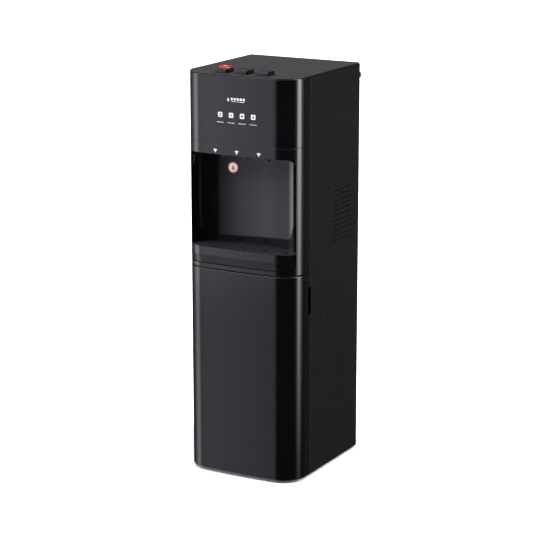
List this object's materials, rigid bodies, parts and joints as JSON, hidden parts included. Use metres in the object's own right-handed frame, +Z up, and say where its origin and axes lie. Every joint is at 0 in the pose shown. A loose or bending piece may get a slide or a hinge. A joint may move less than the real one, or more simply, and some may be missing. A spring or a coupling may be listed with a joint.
{
  "type": "water dispenser",
  "caption": "Tall black floor-standing water dispenser, loaded from below, with a lit control facia, a tap niche with a drip tray, push buttons on top and a hinged bottle door.",
  "frame": {"origin": "on the floor, in the middle of the outer box", "axes": "+Z up, -Y towards the user in front, +X to the user's right"},
  "size_m": [0.322, 0.364, 1.0555],
  "materials": {
    "gloss_black": "glossy moulded plastic, black",
    "satin_black": "satin moulded plastic, black",
    "painted_steel": "smooth semi-gloss black paint on steel sheet",
    "zinc_steel": "zinc-plated steel",
    "stainless": "stainless steel",
    "copper": "bare copper",
    "red_plastic": "glossy red plastic",
    "white_lens": "white diffusing plastic",
    "foam": "white insulating foam",
    "natural_plastic": "milky natural plastic",
    "circuit_board": "green circuit board",
    "rubber": "matt black rubber"
  },
  "bodies": {
    "cabinet": {"base_plate": "zinc_steel", "foot_front_left": "rubber", "foot_front_right": "rubber", "foot_rear_left": "rubber", "foot_rear_right": "rubber", "left_side_panel": "painted_steel", "right_side_panel": "painted_steel", "rear_panel": "zinc_steel", "top_cover": "satin_black", "rear_spacer_left": "rubber", "rear_spacer_right": "rubber", "control_facia": "gloss_black", "indicator_lens_1": "white_lens", "indicator_lens_2": "white_lens", "indicator_lens_3": "white_lens", "indicator_lens_4": "white_lens", "control_board": "circuit_board", "button_board": "circuit_board", "hot_button_spring": "zinc_steel", "room_button_spring": "zinc_steel", "cold_button_spring": "zinc_steel", "hot_nozzle": "satin_black", "room_nozzle": "satin_black", "cold_nozzle": "satin_black", "hot_valve": "natural_plastic", "room_valve": "natural_plastic", "cold_valve": "natural_plastic", "niche_surround": "gloss_black", "niche_liner": "gloss_black", "hinge_pin_lower": "stainless", "hinge_pin_upper": "stainless", "bottle_rest": "satin_black", "middle_deck": "zinc_steel", "probe_tube": "natural_plastic", "probe_cap": "natural_plastic", "probe_hose": "natural_plastic", "probe_hanger": "satin_black", "water_pump": "satin_black", "compressor": "painted_steel", "filter_drier": "copper", "tank_shelf": "zinc_steel", "cold_tank": "stainless", "cold_tank_jacket": "foam", "hot_tank": "stainless", "hot_tank_jacket": "foam", "condenser": "painted_steel", "power_inlet": "satin_black", "switch_housing": "satin_black"},
    "door": {"door_shell": "gloss_black", "door_liner": "satin_black", "door_magnet": "rubber"},
    "tray": {"drip_tray": "gloss_black"},
    "grille": {"drip_grille": "satin_black"},
    "hot_key": {"hot_button": "gloss_black"},
    "room_key": {"room_button": "gloss_black"},
    "cold_key": {"cold_button": "gloss_black"},
    "hot_lock": {"hot_lock_slider": "red_plastic"},
    "heat_rocker": {"heat_switch": "red_plastic"},
    "cool_rocker": {"cool_switch": "satin_black"},
    "plug": {"drain_plug": "satin_black"}
  },
  "joints": [
    {"name": "door_hinge", "type": "hinge", "parent": "cabinet", "child": "door", "pos_m": [-0.155, -0.106, 0.275], "axis": [0, 0, -1], "range_deg": [0, 110]},
    {"name": "hot_button_press", "type": "slide", "parent": "cabinet", "child": "hot_key", "axis": [0, 0, -1], "range_m": [0, 0.005], "stiffness_N_per_m": 400, "springref_m": -0.003, "deforming": ["hot_button_spring"]},
    {"name": "room_button_press", "type": "slide", "parent": "cabinet", "child": "room_key", "axis": [0, 0, -1], "range_m": [0, 0.005], "stiffness_N_per_m": 400, "springref_m": -0.003, "deforming": ["room_button_spring"]},
    {"name": "cold_button_press", "type": "slide", "parent": "cabinet", "child": "cold_key", "axis": [0, 0, -1], "range_m": [0, 0.005], "stiffness_N_per_m": 400, "springref_m": -0.003, "deforming": ["cold_button_spring"]},
    {"name": "hot_lock_slide", "type": "slide", "parent": "hot_key", "child": "hot_lock", "axis": [0, -1, 0], "range_m": [0, 0.006], "stiffness_N_per_m": 150, "springref_m": -0.002},
    {"name": "drip_tray_slide", "type": "slide", "parent": "cabinet", "child": "tray", "axis": [0, -1, 0], "range_m": [0, 0.1]},
    {"name": "drip_grille_lift", "type": "slide", "parent": "tray", "child": "grille", "axis": [0, 0, 1], "range_m": [0, 0.03]},
    {"name": "heat_switch_rock", "type": "hinge", "parent": "cabinet", "child": "heat_rocker", "pos_m": [-0.047, 0.1563, 0.64], "axis": [1, 0, 0], "range_deg": [0, 12]},
    {"name": "cool_switch_rock", "type": "hinge", "parent": "cabinet", "child": "cool_rocker", "pos_m": [-0.019, 0.1563, 0.64], "axis": [1, 0, 0], "range_deg": [0, 12]},
    {"name": "drain_plug_pull", "type": "slide", "parent": "cabinet", "child": "plug", "axis": [0, 1, 0], "range_m": [0, 0.018]}
  ]
}
